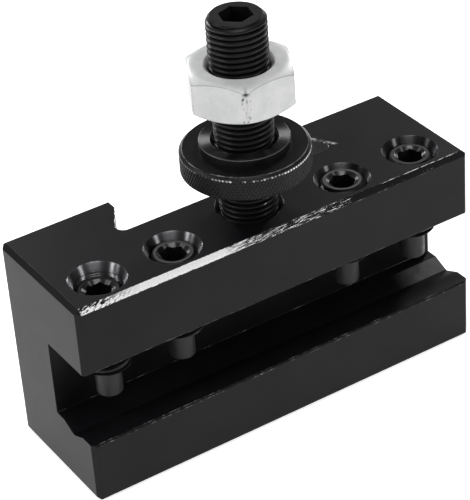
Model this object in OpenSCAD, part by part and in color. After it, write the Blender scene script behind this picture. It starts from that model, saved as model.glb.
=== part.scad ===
// Dovetail turning and boring tool holder for a quick change tool post.
// Frame: X runs along the tool slot, -Y is the open slot side, +Y is the
// dovetail side, Z is up. The origin is the middle of the base.

/* [Holder block] */
// Length of the block along the tool slot
block_l = 76.2; // [74:0.1:82]
// Depth of the block, slot face to dovetail face
block_d = 25; // [24:0.1:30]
// Height of the block
block_h = 38; // [35:0.1:45]
// Chamfer along the vertical corners
corner_chamfer = 0.75; // [0.3:0.05:1.2]
// Chamfer along the top and bottom edges of the ends
end_chamfer = 0.8; // [0.3:0.1:1.2]
// Chamfer along the front top edge
front_chamfer = 0.9; // [0.4:0.1:1.2]
// Chamfer along the other long edges
edge_chamfer = 0.5; // [0.2:0.1:1]

/* [Tool slot] */
// Height of the slot floor above the base
slot_floor_z = 11.5; // [9:0.1:13]
// Opening of the slot, floor to upper jaw
slot_open = 14; // [13:0.1:16]
// Depth of the slot from the front face
slot_depth = 11.7; // [11:0.1:13]
// Edge break at the mouth of the slot
slot_break = 0.3; // [0.1:0.1:0.6]
// Width of the V groove in the slot floor
groove_w = 6.2; // [4:0.1:8]
// Depth of the V groove
groove_depth = 1.25; // [0.5:0.05:1.5]

/* [Dovetail] */
// Width of the dovetail mouth
dovetail_mouth = 35.8; // [34:0.1:38]
// Depth of the parallel land behind the mouth
dovetail_land = 2.5; // [1:0.1:3]
// Depth of the dovetail from the back face
dovetail_depth = 9.6; // [8:0.1:9.7]
// Angle of the dovetail flanks
dovetail_angle = 60; // [55:1:65]
// Corner radius at the dovetail floor
dovetail_r = 1.5; // [0.5:0.1:2]

/* [Clamp screws] */
// Distance of the inner screws from the middle
screw_inner_x = 16.6; // [15:0.1:18]
// Distance of the outer screws from the middle
screw_outer_x = 30.6; // [28:0.1:31]
// Distance of the screw line behind the front face
screw_line_y = 6.35; // [6:0.05:6.6]
// Thread diameter
screw_d = 8; // [7:0.1:8]
// Full length of a screw
screw_l = 20; // [18:0.5:22]
// Diameter of the dog point
dog_d = 4.4; // [4:0.1:5.5]
// Length of the dog point
dog_l = 4.4; // [3:0.1:5]
// Length of the cone between thread and dog point
dog_cone_l = 1.3; // [0.8:0.1:2]
// Hex key size of the screws
screw_hex = 4; // [3:0.5:4]
// Mouth diameter of the screw sockets
screw_mouth = 5.4; // [4.7:0.1:5.6]
// Mouth diameter of the screw countersink
sink_d = 9.5; // [9:0.1:10]
// Depth of the screw countersink
sink_depth = 1.5; // [1:0.1:2]
// Spacing of the tap marks below the countersink
sink_mark_step = 0.4; // [0.3:0.01:0.45]
// Height of each screw tip above the base, left to right
screw_tip_1 = 16; // [12:0.1:24]
// Tip height of the second screw
screw_tip_2 = 17.1; // [12:0.1:24]
// Tip height of the third screw
screw_tip_3 = 17.7; // [12:0.1:24]
// Tip height of the fourth screw
screw_tip_4 = 17.2; // [12:0.1:24]

/* [Height stud] */
// Thread diameter of the stud
stud_d = 9.9; // [9:0.1:10]
// Distance of the stud axis behind the front face
stud_y = 9.3; // [9:0.1:9.4]
// Height of the stud top above the base
stud_top_z = 73.1; // [70:0.1:80]
// Full length of the stud
stud_l = 45; // [42:0.5:46]
// Hex key size of the stud
stud_hex = 5; // [4:0.5:5]
// Turn of the stud's socket about its axis
stud_turn = 16; // [0:1:60]
// Mouth diameter of the stud hole countersink
stud_sink_d = 11.4; // [10.6:0.1:11.6]

/* [Thumb nut] */
// Diameter over the knurl
thumb_d = 21.6; // [20:0.1:23]
// Height of the knurled disc's underside above the base
thumb_z = 45.15; // [38:0.05:48]
// Thickness of the knurled disc
thumb_t = 4.45; // [3.5:0.05:5]
// Chamfer at the rims of the disc
thumb_chamfer = 0.55; // [0.3:0.05:0.8]
// Diameter of the raised seat
boss_d = 15; // [14:0.1:17]
// Height of the raised seat
boss_h = 1.3; // [0.5:0.1:2]

/* [Lock nut] */
// Size across the flats
lock_af = 16.4; // [15.5:0.1:17]
// Thickness of the nut
lock_t = 6.8; // [5:0.1:7]
// Height of the nut's underside above the base
lock_z = 57.9; // [53:0.1:60]
// Turn of the hexagon about the stud
lock_turn = 3.1; // [0:0.1:60]

/* [Fits] */
// Radial running clearance of the moving pieces
running_gap = 0.05; // [0.02:0.01:0.1]

/* [Hidden] */
$fn = 64;
front_y = -block_d / 2;
back_y = block_d / 2;
slot_back_y = front_y + slot_depth;
slot_top_z = slot_floor_z + slot_open;
screw_y = front_y + screw_line_y;
stud_axis_y = front_y + stud_y;
land_y = back_y - dovetail_land;
floor_y = back_y - dovetail_depth;
mouth_x = dovetail_mouth / 2;
floor_x = mouth_x + (land_y - floor_y) / tan(dovetail_angle);
screw_x = [-screw_outer_x, -screw_inner_x, screw_inner_x, screw_outer_x];
screw_tip = [screw_tip_1, screw_tip_2, screw_tip_3, screw_tip_4];
screw_turn = [55, 24, 34, 54];
stud_bottom_z = stud_top_z - stud_l;
lock_corner_r = lock_af / sqrt(3);
eps = 0.01;

// Rectangle from (x0, y0) to (x1, y1) with four chamfered corners
module chamfer_rect(x0, y0, x1, y1, c) {
    polygon([
        [x0 + c, y0], [x1 - c, y0], [x1, y0 + c], [x1, y1 - c],
        [x1 - c, y1], [x0 + c, y1], [x0, y1 - c], [x0, y0 + c]
    ]);
}

// Extrude an outline of the YZ plane over the block's length
module along_x(l) {
    translate([-l / 2, 0, 0]) rotate([90, 0, 90]) linear_extrude(l) children();
}

// Extrude an outline of the XZ plane over the block's depth
module along_y(l) {
    translate([0, l / 2, 0]) rotate([90, 0, 0]) linear_extrude(l) children();
}

// Hexagonal prism for key sockets, open upwards, with a conical mouth
module hex_socket(af, depth, mouth) {
    lead = (mouth - af) * 0.35;
    cylinder(d = 2 * af / sqrt(3), h = depth + eps, $fn = 6);
    translate([0, 0, -af * 0.28]) cylinder(d1 = af * 0.1, d2 = af * 0.96, h = af * 0.28 + eps);
    translate([0, 0, depth - lead]) cylinder(d1 = af, d2 = mouth, h = lead + eps);
}

// Outline of the block seen from its end
module end_outline() {
    polygon([
        [front_y, edge_chamfer],
        [front_y + edge_chamfer, 0],
        [back_y - edge_chamfer, 0],
        [back_y, edge_chamfer],
        [back_y, block_h - edge_chamfer],
        [back_y - edge_chamfer, block_h],
        [front_y + front_chamfer, block_h],
        [front_y, block_h - front_chamfer],
        [front_y, slot_top_z + slot_break],
        [front_y + slot_break, slot_top_z],
        [slot_back_y, slot_top_z],
        [slot_back_y, slot_floor_z],
        [screw_y + groove_w / 2, slot_floor_z],
        [screw_y + 0.2, slot_floor_z - groove_depth],
        [screw_y - 0.2, slot_floor_z - groove_depth],
        [screw_y - groove_w / 2, slot_floor_z],
        [front_y + slot_break, slot_floor_z],
        [front_y, slot_floor_z - slot_break]
    ]);
}

// Dovetail opening seen from above, with a round at each floor corner
module dovetail_outline() {
    a = dovetail_angle;
    inset = dovetail_r / tan(a / 2);
    difference() {
        polygon([
            [-mouth_x, back_y + 1], [-mouth_x, land_y], [-floor_x, floor_y],
            [floor_x, floor_y], [mouth_x, land_y], [mouth_x, back_y + 1]
        ]);
        for (s = [-1, 1]) difference() {
            polygon([
                [s * (floor_x + eps), floor_y - eps],
                [s * (floor_x - inset), floor_y - eps],
                [s * (floor_x - inset), floor_y],
                [s * (floor_x - inset), floor_y + dovetail_r],
                [s * (floor_x - inset * cos(a) + eps), floor_y + inset * sin(a)]
            ]);
            translate([s * (floor_x - inset), floor_y + dovetail_r]) circle(r = dovetail_r);
        }
    }
}

// Threaded hole for one clamp screw, through the upper jaw
module screw_hole() {
    r = screw_d / 2 + running_gap;
    translate([0, 0, slot_top_z - 1]) cylinder(r = r, h = block_h - slot_top_z + 2);
    translate([0, 0, block_h - sink_depth]) cylinder(r1 = r, r2 = sink_d / 2, h = sink_depth);
    // Tap marks below the countersink
    for (i = [1:3]) translate([0, 0, block_h - sink_depth - sink_mark_step * i]) {
        cylinder(r1 = r, r2 = r + 0.14, h = 0.12);
        translate([0, 0, 0.12]) cylinder(r1 = r + 0.14, r2 = r, h = 0.12);
    }
    translate([0, 0, slot_top_z]) cylinder(r1 = r + 0.4, r2 = r, h = 0.4);
}

// Blind threaded hole that holds the height stud
module stud_hole() {
    r = stud_d / 2;
    translate([0, 0, stud_bottom_z - 0.6]) cylinder(r = r, h = block_h - stud_bottom_z + 1);
    translate([0, 0, block_h - 0.8]) cylinder(r1 = r, r2 = stud_sink_d / 2, h = 0.8);
}

module holder_block() {
    color("#2b2c30") difference() {
        intersection() {
            along_x(block_l) end_outline();
            linear_extrude(block_h) difference() {
                chamfer_rect(-block_l / 2, front_y, block_l / 2, back_y, corner_chamfer);
                dovetail_outline();
            }
            along_y(block_d) chamfer_rect(-block_l / 2, 0, block_l / 2, block_h, end_chamfer);
        }
        for (x = screw_x) translate([x, screw_y, 0]) screw_hole();
        translate([0, stud_axis_y, 0]) stud_hole();
    }
}

module height_stud() {
    r = stud_d / 2;
    color("#26272a") translate([0, stud_axis_y, stud_bottom_z]) difference() {
        union() {
            cylinder(r1 = r - 0.9, r2 = r, h = 0.9);
            translate([0, 0, 0.9]) cylinder(r = r, h = stud_l - 1.8);
            translate([0, 0, stud_l - 0.9]) cylinder(r1 = r, r2 = r - 0.75, h = 0.9);
        }
        translate([0, 0, stud_l - 5.5]) rotate([0, 0, stud_turn])
            hex_socket(stud_hex, 5.5, stud_hex * 1.16);
    }
}

module thumb_nut() {
    r = thumb_d / 2;
    c = thumb_chamfer;
    bore = stud_d / 2 + running_gap;
    seat = thumb_t + boss_h;
    color("#2e2f33") translate([0, stud_axis_y, thumb_z]) rotate_extrude($fn = 96)
        polygon([
            [bore + 0.5, 0], [r - c, 0], [r, c], [r, thumb_t - c], [r - c, thumb_t],
            [boss_d / 2, thumb_t], [boss_d / 2, seat - 0.25], [boss_d / 2 - 0.25, seat],
            [bore + 0.5, seat], [bore, seat - 0.5], [bore, 0.5]
        ]);
}

module lock_nut() {
    bore = stud_d / 2 + running_gap;
    face_r = lock_af / 2 * 0.965;
    cone = (lock_corner_r - face_r) * tan(28);
    color("#d9dbde") translate([0, stud_axis_y, lock_z]) intersection() {
        rotate([0, 0, lock_turn]) difference() {
            cylinder(r = lock_corner_r, h = lock_t, $fn = 6);
            translate([0, 0, -1]) cylinder(r = bore, h = lock_t + 2);
            translate([0, 0, -eps]) cylinder(r1 = bore + 0.6, r2 = bore, h = 0.6);
            translate([0, 0, lock_t - 0.6 + eps]) cylinder(r1 = bore, r2 = bore + 0.6, h = 0.6);
        }
        rotate_extrude($fn = 96) polygon([
            [0, 0], [face_r, 0], [lock_corner_r + 0.2, cone + 0.1],
            [lock_corner_r + 0.2, lock_t - cone - 0.1], [face_r, lock_t], [0, lock_t]
        ]);
    }
}

// One socket set screw with a dog point, tip at z = 0
module clamp_screw() {
    r = screw_d / 2;
    thread_z = dog_l + dog_cone_l;
    difference() {
        union() {
            cylinder(d1 = dog_d - 0.6, d2 = dog_d, h = 0.3);
            translate([0, 0, 0.3]) cylinder(d = dog_d, h = dog_l - 0.3);
            translate([0, 0, dog_l]) cylinder(r1 = dog_d / 2, r2 = r, h = dog_cone_l);
            translate([0, 0, thread_z]) cylinder(r = r, h = screw_l - thread_z - 0.7);
            translate([0, 0, screw_l - 0.7]) cylinder(r1 = r, r2 = r - 0.7, h = 0.7);
        }
        translate([0, 0, screw_l - 4]) hex_socket(screw_hex, 4, screw_mouth);
    }
}

module placed_screw(i) {
    color("#3a3b3e") translate([screw_x[i], screw_y, screw_tip[i]]) rotate([0, 0, screw_turn[i]])
        clamp_screw();
}

module clamp_screw_1() { placed_screw(0); }
module clamp_screw_2() { placed_screw(1); }
module clamp_screw_3() { placed_screw(2); }
module clamp_screw_4() { placed_screw(3); }

holder_block();
height_stud();
thumb_nut();
lock_nut();
clamp_screw_1();
clamp_screw_2();
clamp_screw_3();
clamp_screw_4();
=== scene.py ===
"""Looks of the dovetail tool holder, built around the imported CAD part.

The pieces' sizes are in millimetres; the stage, the camera and shader coordinates are in metres.
"""

import math

import bmesh
import bpy
from mathutils import Matrix, Vector, noise


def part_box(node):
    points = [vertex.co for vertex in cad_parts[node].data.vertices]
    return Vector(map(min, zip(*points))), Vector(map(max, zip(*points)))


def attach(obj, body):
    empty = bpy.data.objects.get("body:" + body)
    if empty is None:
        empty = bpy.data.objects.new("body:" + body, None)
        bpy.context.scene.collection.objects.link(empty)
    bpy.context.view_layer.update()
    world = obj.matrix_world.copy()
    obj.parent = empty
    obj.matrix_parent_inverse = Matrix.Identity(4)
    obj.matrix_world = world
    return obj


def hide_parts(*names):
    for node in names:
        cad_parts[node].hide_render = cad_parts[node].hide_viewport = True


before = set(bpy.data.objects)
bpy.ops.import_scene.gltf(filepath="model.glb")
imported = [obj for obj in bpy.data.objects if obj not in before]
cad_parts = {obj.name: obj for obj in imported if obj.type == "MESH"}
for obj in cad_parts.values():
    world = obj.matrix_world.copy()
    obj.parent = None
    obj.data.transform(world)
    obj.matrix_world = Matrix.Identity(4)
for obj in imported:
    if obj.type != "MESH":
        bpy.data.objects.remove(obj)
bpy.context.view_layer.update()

MM = 0.001
TAU = 2 * math.pi


# ---------------------------------------------------------------- places from the CAD
def box_mm(node):
    """A node's lowest and highest corners at rest, in millimetres."""
    low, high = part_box(node)
    return [v / MM for v in low], [v / MM for v in high]


def middle(box):
    """The x and y of a box's upright axis."""
    low, high = box
    return (low[0] + high[0]) / 2, (low[1] + high[1]) / 2


BLOCK_LO, BLOCK_HI = box_mm("holder_block")
FRONT_Y = BLOCK_LO[1]
BACK_Y = BLOCK_HI[1]
TOP_Z = BLOCK_HI[2]
HALF_L = BLOCK_HI[0]
SLOT_DEPTH = 11.7
SLOT_BACK_Y = FRONT_Y + SLOT_DEPTH
DOVETAIL_DEPTH, DOVETAIL_HALF = 9.6, 22.0
FLANK_X, FLANK_Y = DOVETAIL_HALF, BACK_Y - DOVETAIL_DEPTH
BROKEN_EDGE = 0.14

STUD_LO, STUD_HI = box_mm("height_stud")
STUD_X, STUD_Y = middle((STUD_LO, STUD_HI))
STUD_R = (STUD_HI[0] - STUD_LO[0]) / 2
STUD_PITCH, STUD_KEY, STUD_KEY_DEPTH = 1.0, 5.0, 5.5
BORE_R = STUD_R + 0.05

THUMB_LO, THUMB_HI = box_mm("thumb_nut")
SEAT_R, SEAT_H = 7.5, 1.3
THUMB_R = (THUMB_HI[0] - THUMB_LO[0]) / 2
THUMB_TOP = THUMB_HI[2] - SEAT_H
THUMB_CHAMFER = 0.55

LOCK_LO, LOCK_HI = box_mm("lock_nut")
LOCK_FLATS, LOCK_CORNER_R, LOCK_SLOPE = 16.4, 9.4, 28

SCREWS = (1, 2, 3, 4)
HOLES = [middle(box_mm(f"clamp_screw_{k}")) for k in SCREWS]
SCREW_R, SCREW_PITCH, SCREW_KEY, SCREW_KEY_DEPTH = 4.0, 1.25, 4.0, 4.0
DOG_R, DOG_LENGTH, DOG_CONE = 2.2, 4.4, 1.3
SCREW_TURN = (55, 24, 34, 54)
RING_WEAR = (0.1, 0.3, 0.35, 0.15)


# ---------------------------------------------------------------- node helpers
class Mat:
    """A material with short calls for adding and linking nodes."""

    def __init__(self, name):
        self.mat = bpy.data.materials.new(name)
        self.mat.use_nodes = True
        self.tree = self.mat.node_tree
        self.tree.nodes.clear()
        self.out = self.tree.nodes.new("ShaderNodeOutputMaterial")
        self.bsdf = self.add("BsdfPrincipled")
        self.tree.links.new(self.bsdf.outputs[0], self.out.inputs["Surface"])
        self.obj = self.add("TexCoord").outputs["Object"]

    def add(self, kind, **props):
        """A new shader node with its properties set."""
        node = self.tree.nodes.new("ShaderNode" + kind)
        for key, value in props.items():
            setattr(node, key, value)
        return node

    def plug(self, socket, value):
        """Link a socket, or set it to a number or a colour."""
        if isinstance(value, bpy.types.NodeSocket):
            self.tree.links.new(value, socket)
        elif socket.type == "RGBA" and isinstance(value, (int, float)):
            socket.default_value = (value, value, value, 1)
        elif socket.type == "RGBA" and len(value) == 3:
            socket.default_value = (*value, 1)
        else:
            socket.default_value = value

    def math(self, op, a, b=0.0):
        """An operation on two values, or on the first alone for ABSOLUTE and SQRT."""
        node = self.add("Math", operation=op)
        self.plug(node.inputs[0], a)
        self.plug(node.inputs[1], b)
        return node.outputs[0]

    def scaled(self, scale, offset=(0, 0, 0), vector=None):
        """Coordinates scaled along each axis, then moved."""
        node = self.add("Mapping")
        self.plug(node.inputs["Vector"], vector or self.obj)
        node.inputs["Scale"].default_value = scale
        node.inputs["Location"].default_value = offset
        return node.outputs[0]

    def noise(self, scale, detail=3.0, rough=0.5, vector=None, stretch=None):
        """Noise with features 1/scale across in the vector's unit, stretched if asked."""
        vec = vector or self.obj
        if stretch:
            vec = self.scaled(stretch, vector=vec)
        node = self.add("TexNoise")
        self.plug(node.inputs["Vector"], vec)
        node.inputs["Scale"].default_value = scale
        node.inputs["Detail"].default_value = detail
        node.inputs["Roughness"].default_value = rough
        return node.outputs["Fac"]

    def span(self, value, a, b, c=0.0, d=1.0):
        """Value as it goes from a to b, turned into c to d and held at its ends."""
        node = self.add("MapRange")
        for key, v in zip(("Value", "From Min", "From Max", "To Min", "To Max"), (value, a, b, c, d)):
            self.plug(node.inputs[key], v)
        return node.outputs[0]

    def mix(self, fac, a, b):
        """A colour between a and b."""
        node = self.add("Mix", data_type="RGBA")
        self.plug(node.inputs[0], fac)
        self.plug(node.inputs[6], a)
        self.plug(node.inputs[7], b)
        return node.outputs[2]

    def cloud(self, scale, detail, low, high):
        """A colour that wanders between two, in blotches 1/scale metres across."""
        return self.mix(self.span(self.noise(scale, detail, 0.6), 0.35, 0.7), low, high)

    def roughness(self, scale, detail, rough, low, high):
        """A roughness that wanders between two."""
        return self.span(self.noise(scale, detail, rough), 0.3, 0.7, low, high)

    def mix_value(self, fac, a, b):
        """A number between a and b."""
        return self.math("ADD", self.math("MULTIPLY", self.math("SUBTRACT", 1.0, fac), a),
                         self.math("MULTIPLY", fac, b))

    def product(self, *values):
        """All the values multiplied together."""
        out = values[0]
        for value in values[1:]:
            out = self.math("MULTIPLY", out, value)
        return out

    def join(self, x, y):
        """A flat vector from two values."""
        node = self.add("CombineXYZ")
        for socket, value in zip(node.inputs, (x, y)):
            self.plug(socket, value)
        return node.outputs[0]

    def turned(self, vector, degrees):
        """Coordinates turned about z."""
        node = self.add("Mapping")
        self.plug(node.inputs["Vector"], vector)
        node.inputs["Rotation"].default_value = (0, 0, math.radians(degrees))
        return node.outputs[0]

    def curve(self, value, xs, ys):
        """Straight pieces through the points (xs, ys)."""
        out = ys[0]
        for x0, x1, y0, y1 in zip(xs, xs[1:], ys, ys[1:]):
            out = self.math("ADD", out, self.span(value, x0, x1, 0.0, y1 - y0))
        return out

    def radius(self, x, y):
        """Distance from the stud's axis, in millimetres."""
        dx = self.math("SUBTRACT", self.math("DIVIDE", x, MM), STUD_X)
        dy = self.math("SUBTRACT", self.math("DIVIDE", y, MM), STUD_Y)
        return self.math("SQRT", self.math("ADD", self.math("MULTIPLY", dx, dx),
                                           self.math("MULTIPLY", dy, dy)))

    def split(self):
        """The object's own x, y and z, in metres."""
        node = self.add("SeparateXYZ")
        self.plug(node.inputs[0], self.obj)
        return node.outputs

    def attr(self, name):
        """A value stored on the mesh."""
        return self.add("Attribute", attribute_name=name).outputs["Fac"]

    def bump(self, height, distance, strength):
        """A normal from a height, distance metres for a height of 1."""
        node = self.add("Bump")
        node.inputs["Strength"].default_value = strength
        node.inputs["Distance"].default_value = distance
        self.plug(node.inputs["Height"], height)
        return node.outputs[0]

    def set(self, **values):
        """Set or link the shader's sockets, named with underscores for spaces."""
        for key, value in values.items():
            self.plug(self.bsdf.inputs[key.replace("_", " ")], value)


# ---------------------------------------------------------------- materials
OXIDE = (0.0035, 0.0036, 0.0042)
OXIDE_PALE = (0.0065, 0.0066, 0.0075)


def edge_wear_mask(m, x, y, z):
    """Where the block is rubbed bare, and how bright the bare steel is.

    The front top chamfer is solid on the left and scratched on the right.
    """
    # u runs along the edge and c across it, both in millimetres; c is 0 in the chamfer's middle
    u = m.math("DIVIDE", x, MM)
    c = m.math("DIVIDE", m.math("ADD", m.math("SUBTRACT", y, FRONT_Y * MM),
                                m.math("SUBTRACT", z, TOP_Z * MM)), MM)
    flat = m.join(u, c)
    fine = m.noise(2.8, 5, 0.7, vector=m.scaled((0.8, 1, 1), vector=flat))
    streak = m.noise(2.2, 5, 0.65, vector=m.scaled((0.2, 2.2, 1), (3, 0, 0), vector=flat))
    slant = m.noise(1.9, 3, 0.6, vector=m.scaled((0.5, 1.5, 1), vector=m.turned(flat, -32)))
    crumb = m.noise(5.0, 3, 0.6, vector=flat)
    # the band's two edges wander a little
    half = m.span(fine, 0.3, 0.7, 0.8, 0.98)
    band = m.span(m.math("SUBTRACT", half, m.math("ABSOLUTE", c)), 0.0, 0.07)
    # how much of the band is bare: the streaks' threshold rises to the right
    level = m.curve(u, (-38, -12, -10, -8, -3, 9, 14, 17, 19.5, 21.5, 38),
                    (0.1, 0.16, 0.38, 0.47, 0.505, 0.53, 0.57, 0.72, 0.75, 0.67, 0.69))
    upper_line = m.span(m.math("ABSOLUTE", m.math("SUBTRACT", c, 0.8)), 0.05, 0.18, 0.24, 0.0)
    lower_line = m.span(m.math("ABSOLUTE", m.math("ADD", c, 0.5)), 0.05, 0.16, 0.1, 0.0)
    right = m.span(u, 19, 22)
    lines = m.math("MULTIPLY", right, m.math("ADD", upper_line, lower_line))
    level = m.math("SUBTRACT", level, lines)
    mixed = m.mix_value(m.span(u, -12, -2, 0.0, 0.35), streak, crumb)
    bare = m.span(m.math("SUBTRACT", mixed, level), 0.0, 0.02)
    # feathered marks at the left end, on the upper half of the chamfer
    left = m.span(u, -26, -33)
    cut = m.span(m.math("ADD", slant, m.math("MULTIPLY", m.math("SUBTRACT", 0.2, c), 0.1)),
                 0.5, 0.52)
    bare = m.math("MULTIPLY", bare, m.mix_value(left, 1.0, cut))
    end = m.math("MULTIPLY", m.span(u, -37.3, -37.0), m.span(u, 35.6, 36.6, 1.0, 0.0))
    near = m.math("MAXIMUM", m.math("SUBTRACT", y, FRONT_Y * MM),
                  m.math("SUBTRACT", TOP_Z * MM, z))
    # on the right the bare steel is scratched rather than rubbed bright
    rubbed = m.span(crumb, 0.3, 0.55, 0.65, 1.0)
    scratch = m.noise(1.5, 3, 0.5,
                      vector=m.scaled((0.3, 2.0, 1), (7, 0, 0), vector=m.turned(flat, -12)))
    shine = m.mix_value(m.span(u, -11, -5), rubbed, m.span(scratch, 0.45, 0.53))
    front = m.product(band, bare, end, m.span(near, 1.9 * MM, 2.1 * MM, 1.0, 0.0))
    return m.math("MAXIMUM", front, flank_wear(m, u, y, z)), shine


def flank_wear(m, u, y, z):
    """Rubbed patch on top beside the right dovetail flank, where the holder meets its post."""
    back = m.math("SUBTRACT", m.math("DIVIDE", y, MM), FLANK_Y)
    off = m.math("ADD",
                 m.math("MULTIPLY", m.math("SUBTRACT", u, FLANK_X), math.cos(math.radians(30))),
                 m.math("MULTIPLY", back, math.sin(math.radians(30))))
    strip = m.span(m.math("ABSOLUTE", m.math("SUBTRACT", off, 0.3)), 0.2, 0.4, 1.0, 0.0)
    ends = m.math("MULTIPLY", m.span(back, 0.2, 0.8), m.span(back, 4.5, 6.5, 1.0, 0.0))
    rub = m.span(m.noise(420, 3, 0.6), 0.36, 0.55, 0.08, 0.4)
    return m.product(strip, ends, rub, m.span(z, (TOP_Z - 0.3) * MM, (TOP_Z - 0.2) * MM))


def oxide_parts(m, low, high, rough):
    """The oxide's own colour, roughness and fine relief."""
    base = m.cloud(90, 4, low, high)
    roughness = m.roughness(300, 3, 0.6, *rough)
    height = m.math("ADD", m.math("MULTIPLY", m.noise(2600, 2, 0.6), 0.5),
                    m.math("MULTIPLY", m.noise(900, 3, 0.6, stretch=(0.02, 1, 1)), 0.5))
    return base, roughness, height


def oxide_block_material():
    """Black oxide on milled steel, rubbed bare along its edges, with a painted reflection lightening
    the groove's back slope at its right end.
    """
    m = Mat("oxide_block")
    x, y, z = m.split()
    base, rough, height = oxide_parts(m, OXIDE, OXIDE_PALE, (0.37, 0.4))
    marking, shine = edge_wear_mask(m, x, y, z)
    edge = m.math("MULTIPLY", m.attr("edge"), m.span(m.noise(700, 4, 0.7), 0.5, 0.75, 0.0, 0.3))
    bare = m.math("MAXIMUM", marking, m.math("MINIMUM", edge, 1.0))
    metal = m.mix(shine, (0.06, 0.06, 0.06), (0.95, 0.95, 0.94))
    # painted reflection: the groove's back slope is lightened towards its right end, standing in for
    # the bright surroundings it would mirror there
    painted_groove_reflection = m.product(m.attr("groove"), m.span(x, 28 * MM, 33 * MM),
                       m.span(m.noise(260, 3, 0.6), 0.3, 0.6, 0.5, 1.0))
    base = m.mix(m.attr("ground"), base, (0.05, 0.05, 0.051))
    base = m.mix(painted_groove_reflection, base, (0.13, 0.13, 0.13))
    height = m.math("SUBTRACT", height, m.math("MULTIPLY", marking, 0.6))
    m.set(Base_Color=m.mix(bare, base, metal), Metallic=bare,
          Roughness=m.mix(bare, rough, 0.42), Normal=m.bump(height, 0.006 * MM, 0.5),
          IOR=1.215)
    return m.mat


def turned_oxide(name, low, high, rough, tangent, grazing, left_base=None, ridge=1.0):
    """Oxide over fine lathe rings, which draw light out across the lay.

    tangent says how the lay runs, grazing is the reflection at a low angle, and left_base is the
    colour at the block's left end, where it differs.
    """
    m = Mat(name)
    x, _, z = m.split()
    base = m.cloud(400, 3, low, high)
    if left_base:
        base = m.mix(m.span(x, HOLES[0][0] * MM, HOLES[3][0] * MM), left_base, base)
    wander = m.math("MULTIPLY", m.noise(180, 2, 0.5), 0.8)
    rings = m.noise(2.6, 2, 0.5, vector=m.join(m.math("ADD", m.math("DIVIDE", z, MM), wander), 0.0))
    height = m.math("ADD", m.math("MULTIPLY", m.noise(2600, 2, 0.6), 0.4),
                    m.math("MULTIPLY", rings, ridge))
    kind, where = tangent
    lay = m.add("Tangent", direction_type=kind, **where)
    m.set(Base_Color=base, Metallic=1.0, Roughness=m.roughness(700, 2, 0.5, *rough),
          Specular_Tint=(grazing, grazing, grazing),
          Normal=m.bump(height, 0.004 * MM, 0.4),
          Anisotropic=1.0, Anisotropic_Rotation=0.25, Tangent=lay.outputs[0], IOR=1.2)
    return m.mat


def oxide_thread_material():
    """Black oxide on the stud, with a few bright nicks on its crests."""
    m = Mat("oxide_thread")
    marking = m.attr("marking")
    grain = m.noise(3000, 3, 0.6)
    base = m.cloud(250, 3, (0.0025, 0.0025, 0.003), (0.006, 0.006, 0.0065))
    m.set(Base_Color=m.mix(marking, base, (0.6, 0.6, 0.6)), Metallic=marking,
          Roughness=m.roughness(900, 3, 0.6, 0.32, 0.42),
          Normal=m.bump(grain, 0.006 * MM, 0.3), IOR=1.27)
    return m.mat


def oxide_knurl_material():
    """Black oxide rubbed through on the disc's upper edge, the knurl's top and the seat's rim."""
    m = Mat("oxide_knurl")
    x, y, z = m.split()
    r = m.radius(x, y)
    h = m.math("SUBTRACT", m.math("DIVIDE", z, MM), THUMB_TOP)
    spots = m.noise(900, 4, 0.65)
    reach = m.noise(95, 2, 0.5)
    inner = m.product(m.span(m.math("ABSOLUTE", m.math("SUBTRACT", r, THUMB_R - THUMB_CHAMFER)),
                             0.03, 0.11, 1.0, 0.0),
                      m.span(h, -0.16, -0.12),
                      m.span(m.math("ADD", spots, reach), 0.88, 1.12))
    outer = m.product(m.span(m.math("ABSOLUTE", m.math("ADD", h, THUMB_CHAMFER + 0.05)),
                             0.08, 0.22, 1.0, 0.0),
                      m.span(r, THUMB_R - 0.12, THUMB_R - 0.04),
                      m.span(m.math("ADD", spots, reach), 0.86, 1.02),
                      m.span(x, -10.4 * MM, -8.0 * MM, 0.2, 1.0))
    rim = m.product(m.span(m.math("ABSOLUTE", m.math("SUBTRACT", r, SEAT_R - 0.05)),
                           0.04, 0.1, 1.0, 0.0),
                    m.span(h, SEAT_H - 0.14, SEAT_H - 0.1))
    marking = m.math("MAXIMUM", m.math("MAXIMUM", m.math("MULTIPLY", inner, 0.3), outer),
                  m.math("MULTIPLY", rim, 0.12))
    grain = m.noise(3200, 3, 0.6)
    base = m.cloud(200, 3, (0.0035, 0.0035, 0.004), (0.009, 0.009, 0.0095))
    m.set(Base_Color=m.mix(marking, base, (0.6, 0.6, 0.59)), Metallic=marking,
          Roughness=m.roughness(800, 3, 0.6, 0.3, 0.4),
          Normal=m.bump(grain, 0.006 * MM, 0.35), IOR=1.27)
    return m.mat


def disc_material():
    """Darker oxide on the disc around the seat, with faint turning rings."""
    m = Mat("oxide_turned_disc")
    x, y, _ = m.split()
    r = m.radius(x, y)
    rings = m.noise(14, 3, 0.6, vector=m.join(r, 0.0))
    base = m.cloud(400, 3, (0.003, 0.003, 0.0033), (0.006, 0.006, 0.0065))
    m.set(Base_Color=base, Roughness=m.roughness(700, 2, 0.5, 0.34, 0.42),
          Normal=m.bump(rings, 0.004 * MM, 0.5), IOR=1.16)
    return m.mat


def zinc_material():
    """Pale, slightly grainy zinc plate, dark where it is knocked, with painted shade along its edges
    and in its bore.
    """
    m = Mat("bright_zinc")
    marking = m.attr("marking")
    grain = m.noise(2400, 3, 0.65)
    base = m.mix(m.span(m.noise(350, 4, 0.6), 0.3, 0.7), (0.55, 0.55, 0.545), (0.46, 0.47, 0.47))
    base = m.mix(m.span(grain, 0.58, 0.7, 0, 0.35), base, (0.38, 0.38, 0.38))
    # the lock nut's dark marks: its knock, and painted shade along its edges and in its bore
    base = m.mix(marking, base, (0.03, 0.03, 0.03))
    m.set(Base_Color=base, Metallic=0.15, Specular_IOR_Level=0.25,
          Roughness=m.roughness(600, 3, 0.6, 0.34, 0.44),
          Normal=m.bump(grain, 0.02 * MM, 0.35))
    return m.mat


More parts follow.
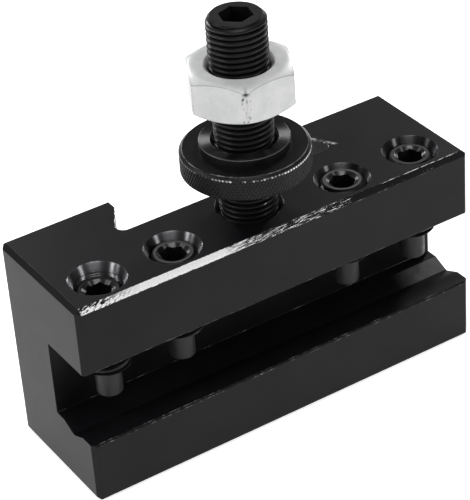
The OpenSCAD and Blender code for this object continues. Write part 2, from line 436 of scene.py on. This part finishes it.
def screw_material():
    """Dark oxide on the clamp screws, greyer on the points and the end rings."""
    m = Mat("screw_steel")
    marking = m.attr("marking")
    grain = m.noise(3000, 3, 0.6)
    base = m.cloud(300, 3, (0.003, 0.003, 0.0035), (0.007, 0.007, 0.0075))
    m.set(Base_Color=m.mix(marking, base, (0.17, 0.17, 0.165)), Metallic=m.math("MULTIPLY", marking, 0.5),
          Roughness=m.roughness(900, 3, 0.6, 0.35, 0.5),
          Normal=m.bump(grain, 0.015 * MM, 0.45), IOR=1.27)
    return m.mat


# ---------------------------------------------------------------- mesh helpers
def polar(x0, y0, r, a, z):
    """The point at radius r and angle a round an upright axis."""
    return (x0 + r * math.cos(a), y0 + r * math.sin(a), z)


def ring_maker(x0, y0, angles):
    """A call that gives one round row of points at a radius and a height."""
    return lambda r, z: [polar(x0, y0, r, a, z) for a in angles]


def round_angles(n, turn=0.0):
    """n angles evenly round the circle, the first at turn."""
    return [turn + TAU * i / n for i in range(n)]


def from_stud(p):
    """Distance from the stud's axis, in millimetres."""
    return math.hypot(p.x - STUD_X, p.y - STUD_Y)


def add_rows(bm, rows, loop=False, start=None, end=None):
    """Join rows of points into a tube; loop joins the last row to the first.

    start and end are points that close the first and the last row with a fan.
    """
    grid = [[bm.verts.new(p) for p in row] for row in rows]
    n = len(grid[0])
    pairs = list(zip(grid, grid[1:])) + ([(grid[-1], grid[0])] if loop else [])
    for lower, upper in pairs:
        for i in range(n):
            k = (i + 1) % n
            bm.faces.new((lower[i], lower[k], upper[k], upper[i]))
    for tip, row in ((start, grid[0]), (end, grid[-1])):
        if tip is not None:
            v = bm.verts.new(tip)
            for i in range(n):
                bm.faces.new((row[i], row[(i + 1) % n], v))


def add_thread(bm, x0, y0, n, turn, pitch, z0, z1, cap, profile, lift=0.0):
    """Helical surface from z0 to z1.

    profile is [(share of pitch, radius)], cap(z) the largest radius at a height, and lift moves
    the thread up by a share of its pitch.
    """
    m = len(profile)
    turns = math.ceil((z1 - z0) / pitch) + 3
    grid = []
    for j in range(turns * m + 1):
        share, radius = profile[j % m]
        base = z0 + (j // m - 2 + share + lift) * pitch
        row = []
        for i in range(n):
            z = min(max(base + pitch * i / n, z0), z1)
            r = cap(z) if z in (z0, z1) else min(radius, cap(z))
            row.append(bm.verts.new(polar(x0, y0, r, turn + TAU * i / n, z)))
        grid.append(row)
    for j in range(len(grid) - 1):
        for i in range(n):
            if i < n - 1:
                a, b = grid[j][i + 1], grid[j + 1][i + 1]
            elif j + 1 + m < len(grid):
                a, b = grid[j + m][0], grid[j + m + 1][0]
            else:
                continue
            bm.faces.new((grid[j][i], a, b, grid[j + 1][i]))


def thread_profile(crest, depth):
    """Sixty-degree thread with a flat crest and a rounded root, as shares of the pitch."""
    root = crest - depth
    return [(0.0, crest - depth * 0.1), (0.1, crest - depth * 0.02), (0.2, crest),
            (0.3, crest - depth * 0.02), (0.4, crest - depth * 0.1), (0.5, crest - depth * 0.32),
            (0.62, root + depth * 0.2), (0.7, root), (0.78, root + depth * 0.2),
            (0.9, crest - depth * 0.32)]


def hex_r(af, a, turn):
    """Radius at angle a of a hexagon af across its flats, with a corner at turn."""
    return af / 2 / math.cos((a - turn) % math.radians(60) - math.radians(30))


def socket_rows(x0, y0, n, turn, af, mouth_d, top_z, depth, lead=0.7):
    """Rows from the mouth of a hexagonal key socket down its walls, and its drilled tip.

    lead is how steeply the mouth goes down to the hexagon.
    """
    angles = round_angles(n, turn)
    mouth, wall, foot = [], [], []
    for a in angles:
        r = hex_r(af, a, turn)
        mouth.append(polar(x0, y0, mouth_d / 2, a, top_z))
        wall.append(polar(x0, y0, r, a, top_z - (mouth_d / 2 - r) * lead))
        foot.append(polar(x0, y0, r, a, top_z - depth))
    drill = [polar(x0, y0, af * 0.47, a, top_z - depth - 0.02) for a in angles]
    return [mouth, wall, foot, drill], (x0, y0, top_z - depth - af * 0.28)


def finish_mesh(bm, name, body, node, mats, sharp=35.0, marking=None, pick=None):
    """Weld, scale to metres, shade, give materials, and put the piece on its body.

    The call for marks gives each point's rubbing, on the lock nut also its painted shade, and pick
    the number of a face's material.
    """
    bmesh.ops.remove_doubles(bm, verts=bm.verts, dist=0.0005)
    bmesh.ops.dissolve_degenerate(bm, edges=bm.edges, dist=0.0002)
    bmesh.ops.recalc_face_normals(bm, faces=bm.faces)
    mesh = bpy.data.meshes.new(name)
    if pick:
        for f in bm.faces:
            f.material_index = pick(f)
    markings = [marking(v.co) if marking else 0.0 for v in bm.verts]
    bm.to_mesh(mesh)
    bm.free()
    layer = mesh.attributes.new("marking", "FLOAT", "POINT")
    layer.data.foreach_set("value", markings)
    mesh.transform(Matrix.Scale(MM, 4))
    for mat in mats:
        mesh.materials.append(mat)
    mesh.shade_smooth()
    mesh.set_sharp_from_angle(angle=math.radians(sharp))
    obj = bpy.data.objects.new(name, mesh)
    bpy.context.scene.collection.objects.link(obj)
    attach(obj, body)
    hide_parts(node)


def patch(x, y, z, size):
    """Smooth noise from 0 to 1 with blobs about size millimetres across."""
    return 0.5 + 0.5 * noise.noise(Vector((x / size, y / size, z / size)))


# ---------------------------------------------------------------- pieces
def build_block(mat, sink_mat):
    """The CAD block with its sharp edges broken, as the tumbled part has them."""
    bm = bmesh.new()
    bm.from_mesh(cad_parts["holder_block"].data)
    bmesh.ops.remove_doubles(bm, verts=bm.verts, dist=1e-6)
    bmesh.ops.dissolve_limit(bm, angle_limit=math.radians(0.5), verts=bm.verts, edges=bm.edges)
    sharp = [e for e in bm.edges if len(e.link_faces) == 2
             and e.calc_face_angle(0) > math.radians(28)]
    out = bmesh.ops.bevel(bm, geom=sharp, offset=BROKEN_EDGE * MM, offset_type="OFFSET", segments=2,
                          profile=0.5, affect="EDGES", clamp_overlap=True)
    made = set(out["faces"])
    bm.faces.index_update()
    # per face: how easily its edge is rubbed, whether it is a ground flank, whether it is a
    # groove wall; the dovetail's lips are rubbed most and the block's two ends not at all
    flags, ground, groove = [], [], []
    for f in bm.faces:
        c = f.calc_center_median() / MM
        inside = abs(c.x) < DOVETAIL_HALF + 0.3 and c.y > FLANK_Y + 0.2
        flank = inside and abs(f.normal.x) > 0.6 and f.normal.y < -0.3
        lip = f in made and inside and c.z > TOP_Z - 0.3 and abs(c.x) > 18.2
        corner = abs(c.x) > HALF_L - 1.2
        flags.append(20.0 if lip else 1.0 if f in made and not corner else 0.0)
        ground.append(1.0 if flank else 0.0)
        deep = 9.0 < c.z < 12.5 and FRONT_Y + 1.0 < c.y < SLOT_BACK_Y
        groove.append(1.0 if deep and 0.1 < f.normal.z < 0.99 and f.normal.y < 0 else 0.0)
    # countersinks get their own material; round each hole u runs with the angle, v with height
    lay = bm.loops.layers.uv.new("lay")
    for f in bm.faces:
        c = f.calc_center_median() / MM
        hole = min(HOLES, key=lambda h: math.hypot(c.x - h[0], c.y - h[1]))
        spread = max(math.hypot(v.co.x / MM - hole[0], v.co.y / MM - hole[1]) for v in f.verts)
        if spread < 4.9 and c.z > TOP_Z - 3.0 and f.normal.z < 0.98:
            f.material_index = 1
        mid = math.atan2(c.y - hole[1], c.x - hole[0])
        for loop in f.loops:
            p = loop.vert.co / MM
            a = math.atan2(p.y - hole[1], p.x - hole[0])
            loop[lay].uv = (((a - mid + math.pi) % TAU + mid) / TAU, p.z * 0.01)
    mesh = bpy.data.meshes.new("milled_block")
    bm.to_mesh(mesh)
    bm.free()
    for name, values in (("edge", flags), ("ground", ground), ("groove", groove)):
        mesh.attributes.new(name, "FLOAT", "FACE").data.foreach_set("value", values)
    mesh.materials.append(mat)
    mesh.materials.append(sink_mat)
    mesh.shade_smooth()
    mesh.set_sharp_from_angle(angle=math.radians(40))
    obj = bpy.data.objects.new("milled_block", mesh)
    bpy.context.scene.collection.objects.link(obj)
    obj.modifiers.new("normals", "WEIGHTED_NORMAL").keep_sharp = True
    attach(obj, "holder")
    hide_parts("holder_block")


def build_stud(mat):
    """Threaded stud with a chamfered top and a hexagonal socket."""
    n, turn, crest = 96, math.radians(16), STUD_R - 0.02
    z0, z1 = STUD_LO[2], STUD_HI[2]
    top_r, top_h = STUD_R - 0.75, 0.75

    def cap(z):
        return min(top_r + (z1 - z) * (STUD_R - top_r) / top_h, STUD_R - 0.9 + (z - z0), STUD_R)

    bm = bmesh.new()
    add_thread(bm, STUD_X, STUD_Y, n, turn, STUD_PITCH, z0, z1, cap, thread_profile(crest, 0.64),
               lift=0.33)
    ring = ring_maker(STUD_X, STUD_Y, round_angles(n, turn))
    socket, tip = socket_rows(STUD_X, STUD_Y, n, turn, STUD_KEY, 5.79, z1, STUD_KEY_DEPTH, 0.1)
    add_rows(bm, [ring(top_r, z1)] + socket, end=tip)
    add_rows(bm, [ring(cap(z0), z0)], start=(STUD_X, STUD_Y, z0))

    def marking(p):
        hit = max(0.0, patch(p.x, p.y, p.z, 0.6) - 0.84) * 8
        return min(1.0, hit) if from_stud(p) > crest - 0.05 else 0.0

    finish_mesh(bm, "threaded_stud", "holder", "height_stud", [mat],
                marking=marking)


def build_thumb_nut(mats):
    """Knurled disc with a raised turned seat; the diamonds are cut in the mesh."""
    teeth, per, deep = 110, 8, 0.15
    n = teeth * per
    z0, z1, outer, cham = THUMB_LO[2], THUMB_HI[2], THUMB_R, THUMB_CHAMFER
    step = (TAU * outer / teeth / per) / math.tan(math.radians(30))
    rows_z = round((THUMB_TOP - z0 - 2 * cham) / step)
    angles = round_angles(n)
    ring = ring_maker(STUD_X, STUD_Y, angles)

    def diamond(i, j):
        """Height of the knurl, from 0 in its grooves to 1 or more on its diamonds."""
        u, v = ((i + j) % per) / per, ((i - j) % per) / per
        return min(1 - abs(2 * u - 1), 1 - abs(2 * v - 1)) * 2

    rows = [ring(BORE_R + 0.5, z0), ring((BORE_R + outer) / 2, z0), ring(outer - cham - 0.05, z0),
            ring(outer - cham + 0.05, z0 + 0.06)]
    low, high = z0 + cham, THUMB_TOP - cham
    for j in range(rows_z + 1):
        z = low + (high - low) * j / rows_z
        rows.append([polar(STUD_X, STUD_Y, outer - deep + deep * min(1.0, diamond(i, j)), a, z)
                     for i, a in enumerate(angles)])
    rows += [ring(outer - 0.09, high + 0.09), ring(outer - cham + 0.06, THUMB_TOP - 0.08),
             ring(outer - cham - 0.06, THUMB_TOP), ring(9.4, THUMB_TOP), ring(8.4, THUMB_TOP),
             ring(SEAT_R + 0.03, THUMB_TOP), ring(SEAT_R, THUMB_TOP + 0.03),
             ring(SEAT_R, z1 - 0.1), ring(SEAT_R - 0.1, z1),
             ring(6.5, z1), ring(BORE_R + 0.6, z1), ring(BORE_R, z1 - 0.6), ring(BORE_R, z0 + 0.5)]
    bm = bmesh.new()
    add_rows(bm, rows, loop=True)

    def pick(f):
        c = f.calc_center_median()
        r = from_stud(c)
        if c.z > z1 - 0.04 and r < SEAT_R:
            return 1
        return 2 if abs(c.z - THUMB_TOP) < 0.02 and r < outer - cham - 0.1 else 0

    finish_mesh(bm, "knurled_nut", "thumb_nut_body", "thumb_nut", mats,
                pick=pick, sharp=30)


def build_lock_nut(mat):
    """Hexagonal nut chamfered above and below, with a knock on its front corner."""
    turn = math.radians(3.1)
    z0, z1 = LOCK_LO[2], LOCK_HI[2]
    face_r = LOCK_FLATS / 2 * 0.965
    slope, soft = math.tan(math.radians(LOCK_SLOPE)), 70.0
    angles = round_angles(360, turn)
    ring = ring_maker(STUD_X, STUD_Y, angles)

    def side_r(a):
        """Radius of the sides, a hexagon with its corners slightly rounded."""
        flats = (math.cos(a - turn - math.radians(30 + 60 * k)) for k in range(3))
        return LOCK_FLATS / 2 / sum(abs(c) ** soft for c in flats) ** (1 / soft)

    def drop(a):
        """How far the chamfer has come down where it meets the side."""
        return max(0.0, side_r(a) - face_r) * slope

    lower = [polar(STUD_X, STUD_Y, side_r(a), a, z0 + drop(a)) for a in angles]
    upper = [polar(STUD_X, STUD_Y, side_r(a), a, z1 - drop(a)) for a in angles]
    rows = [ring(BORE_R, z0 + 0.6), ring(BORE_R + 0.6, z0), ring(face_r - 0.02, z0), lower]
    steps = 18
    for t in [0.025] + [j / steps for j in range(1, steps)] + [0.975]:
        rows.append([(p[0], p[1], p[2] + (q[2] - p[2]) * t) for p, q in zip(lower, upper)])
    inner = ring(face_r - 0.02, z1)
    near = [tuple(a + (b - a) * 0.1 for a, b in zip(p, q)) for p, q in zip(upper, inner)]
    rows += [upper, near, inner, ring(face_r - 0.7, z1), ring(BORE_R + 0.75, z1),
             ring(BORE_R + 0.3, z1 - 0.35), ring(BORE_R, z1 - 1.0)]
    bm = bmesh.new()
    add_rows(bm, rows, loop=True)

    # a knock at the top of the front corner, with a few marks below it
    knock, knock_drop, knock_depth = turn - math.radians(120), 0.95, 0.35

    def dent(p, wide, high):
        """The knock's share at a point, and the point's distance to the side of its middle."""
        a = math.atan2(p.y - STUD_Y, p.x - STUD_X)
        side = ((a - knock + math.pi) % TAU - math.pi) * LOCK_CORNER_R
        return (max(0.0, 1 - abs(side) / wide) * max(0.0, 1 - abs(p.z - z1 + knock_drop) / high),
                side)

    for v in bm.verts:
        share, _ = dent(v.co, 0.9, 0.45)
        if from_stud(v.co) > face_r:
            v.co.x -= math.cos(knock) * share * knock_depth
            v.co.y -= math.sin(knock) * share * knock_depth

    def marking(p):
        r = from_stud(p)
        a = math.atan2(p.y - STUD_Y, p.x - STUD_X)
        # painted shade: the bore and the inner part of its chamfers, the gap round the stud, are
        # darkened to half
        if r < BORE_R + 0.5:
            return 0.5
        if r < face_r:
            return 0.0
        share, side = dent(p, 0.8, 0.4)
        # painted shade: dark lines along the hex corners, broken up by noise, and along the chamfer's
        # arcs and the sides' feet; the knock and the marks below it are damage
        corner = abs((a - turn + math.radians(30)) % math.radians(60)
                     - math.radians(30)) * LOCK_CORNER_R
        arc = abs(p.z - z1 + drop(a)) < 0.02 and r > side_r(a) - 0.02
        line = max(0.0, 1 - corner / 0.3) * max(0.0, patch(p.x, p.y, p.z, 0.3) - 0.5) * 2.5
        if abs(side) < 0.8 and r > side_r(a) - 0.02:
            line = max(line, (patch(p.x, p.y, p.z, 0.4) - 0.6) * 7)
        foot = abs(p.z - z0 - drop(a)) < 0.02 and r > side_r(a) - 0.02
        line = max(line, 0.6 if arc or foot else 0.0, 0.12 * max(0.0, 1 - corner / 0.25))
        return min(1.0, share * 1.6 + line)

    finish_mesh(bm, "zinc_nut", "lock_nut_body", "lock_nut", [mat], sharp=32,
                marking=marking)


def build_screw(k, mats):
    """Clamp screw number k from the left, with a dog point below and a key socket on top."""
    node = f"clamp_screw_{k}"
    lo, hi = box_mm(node)
    x0, y0 = HOLES[k - 1]
    turn = math.radians(SCREW_TURN[k - 1])
    n, r, tip_z, top_z = 72, SCREW_R, lo[2], hi[2]
    z0 = tip_z + DOG_LENGTH

    def cap(z):
        return min(r, DOG_R + (z - z0) * (r - DOG_R) / DOG_CONE, r - 0.7 + (top_z - z))

    ring = ring_maker(x0, y0, round_angles(n, turn))
    bm = bmesh.new()
    add_thread(bm, x0, y0, n, turn, SCREW_PITCH, z0, top_z, cap, thread_profile(r - 0.02, 0.76))
    socket, tip = socket_rows(x0, y0, n, turn, SCREW_KEY, 5.4, top_z, SCREW_KEY_DEPTH)
    add_rows(bm, [ring(r - 0.7, top_z), ring(3.12, top_z), ring(2.86, top_z)] + socket, end=tip)
    add_rows(bm, [ring(DOG_R - 0.3, tip_z), ring(DOG_R - 0.05, tip_z + 0.15),
                  ring(DOG_R, tip_z + 0.4), ring(DOG_R, z0)], start=(x0, y0, tip_z))

    def marking(p):
        radius = math.hypot(p.x - x0, p.y - y0)
        if p.z < z0 + 0.05:
            return 0.06 + 0.09 * patch(p.x, p.y, p.z, 0.8)
        if radius > r - 0.1:
            return max(0.0, patch(p.x, p.y, p.z, 0.8) - 0.6)
        return RING_WEAR[k - 1] if p.z > top_z - 0.02 and 2.8 < radius < 3.2 else 0.0

    def pick(f):
        c = f.calc_center_median()
        lead = top_z - 0.8 < c.z < top_z - 0.02 and math.hypot(c.x - x0, c.y - y0) < 2.75
        return 1 if lead else 0

    finish_mesh(bm, f"set_screw_{k}", f"{node}_body", node, mats, marking=marking,
                pick=pick)


# ---------------------------------------------------------------- stage, light, camera
VIEW_AZ, VIEW_EL, VIEW_ROLL = 30.709, 33.738, -4.364
CAMERA_PLACE = (-0.159697, -0.266437, 0.234798)
LENS, SENSOR = 160.44, 36.0
TARGET = Vector((0, -0.001, 0.035))


def view_dir(az, el):
    """Unit vector from the object: az counted from the camera's side, positive to its right."""
    a = math.radians(-90 - VIEW_AZ + az)
    e = math.radians(el)
    return Vector((math.cos(a) * math.cos(e), math.sin(a) * math.cos(e), math.sin(e)))


def build_floor():
    """A plain pale floor, just under the block so that the two don't share a plane."""
    mesh = bpy.data.meshes.new("floor")
    s = 3.0
    mesh.from_pydata([(-s, -s, 0), (s, -s, 0), (s, s, 0), (-s, s, 0)], [], [(0, 1, 2, 3)])
    obj = bpy.data.objects.new("floor", mesh)
    obj.location.z = -0.0001
    bpy.context.scene.collection.objects.link(obj)
    m = Mat("floor_white")
    m.set(Base_Color=(0.8, 0.8, 0.8), Roughness=0.9, Specular_IOR_Level=0.1,
          Emission_Color=(1, 1, 1), Emission_Strength=0.72)
    mesh.materials.append(m.mat)


def build_world():
    """A dim room with one broad soft patch of light high up behind the object."""
    world = bpy.data.worlds.new("studio")
    bpy.context.scene.world = world
    world.use_nodes = True
    tree = world.node_tree
    bg = tree.nodes["Background"]
    coord = tree.nodes.new("ShaderNodeTexCoord")
    dot = tree.nodes.new("ShaderNodeVectorMath")
    dot.operation = "DOT_PRODUCT"
    dot.inputs[1].default_value = view_dir(180, 42)
    ramp = tree.nodes.new("ShaderNodeValToRGB")
    tree.links.new(coord.outputs["Generated"], dot.inputs[0])
    tree.links.new(dot.outputs["Value"], ramp.inputs[0])
    tree.links.new(ramp.outputs[0], bg.inputs[0])
    ramp.color_ramp.elements[0].position = 0.3
    ramp.color_ramp.elements[0].color = (0.16, 0.16, 0.165, 1)
    ramp.color_ramp.elements[1].position = 0.92
    ramp.color_ramp.elements[1].color = (0.3, 0.3, 0.31, 1)
    bg.inputs[1].default_value = 1.0


def add_light(name, az, el, dist, size, power):
    """A square soft light that faces the object from az and el."""
    data = bpy.data.lights.new(name, "AREA")
    data.shape = "RECTANGLE"
    data.size, data.size_y = size, size
    data.energy = power
    obj = bpy.data.objects.new(name, data)
    bpy.context.scene.collection.objects.link(obj)
    d = view_dir(az, el)
    obj.location = TARGET + d * dist
    obj.rotation_euler = d.to_track_quat("Z", "Y").to_euler()


def build_camera():
    """The camera at the photograph's viewing angle, turned slightly about its own axis."""
    data = bpy.data.cameras.new("camera")
    data.sensor_fit = "AUTO"
    data.sensor_width = SENSOR
    data.lens = LENS
    data.clip_start, data.clip_end = 0.01, 20.0
    obj = bpy.data.objects.new("camera", data)
    bpy.context.scene.collection.objects.link(obj)
    back = view_dir(0, VIEW_EL)
    right = Vector((0, 0, 1)).cross(back).normalized()
    up = back.cross(right)
    roll = math.radians(VIEW_ROLL)
    r = right * math.cos(roll) + up * math.sin(roll)
    u = up * math.cos(roll) - right * math.sin(roll)
    m = Matrix((r, u, back)).transposed().to_4x4()
    m.translation = Vector(CAMERA_PLACE)
    obj.matrix_world = m
    bpy.context.scene.camera = obj


# ---------------------------------------------------------------- the scene
block_mat = oxide_block_material()
thread_mat = oxide_thread_material()
knurl_mat = oxide_knurl_material()
RADIAL = ("RADIAL", {"axis": "Z"})
seat_mat = turned_oxide("oxide_turned_seat", (0.03, 0.03, 0.031), (0.04, 0.04, 0.041),
                        (0.38, 0.42), RADIAL, 1.0)
lead_mat = turned_oxide("oxide_socket_lead", (0.07, 0.07, 0.071), (0.09, 0.09, 0.091),
                        (0.33, 0.4), RADIAL, 0.3)
sink_mat = turned_oxide("oxide_countersink", (0.06, 0.06, 0.062), (0.08, 0.08, 0.082), (0.34, 0.4),
                        ("UV_MAP", {"uv_map": "lay"}), 0.1,
                        left_base=(0.17, 0.17, 0.175), ridge=5.0)
disc_mat = disc_material()
zinc_mat = zinc_material()
screw_mat = screw_material()

build_block(block_mat, sink_mat)
build_stud(thread_mat)
build_thumb_nut([knurl_mat, seat_mat, disc_mat])
build_lock_nut(zinc_mat)
for number in SCREWS:
    build_screw(number, [screw_mat, lead_mat])

build_floor()
build_world()
add_light("key", 15, 62, 0.8, 0.5, 1.0)
add_light("overhead", 5, 84, 0.8, 0.3, 2.1)
add_light("left", -62, 22, 0.8, 0.16, 2.1)
add_light("right", 64, 22, 0.8, 0.16, 1.8)
add_light("far_left", -92, 36, 0.8, 0.14, 1.0)
add_light("back_left", -155, 26, 0.9, 0.12, 2.6)
add_light("back_right", 155, 26, 0.9, 0.12, 2.4)
build_camera()

view = bpy.context.scene.view_settings
view.view_transform = "Standard"
view.look = "None"
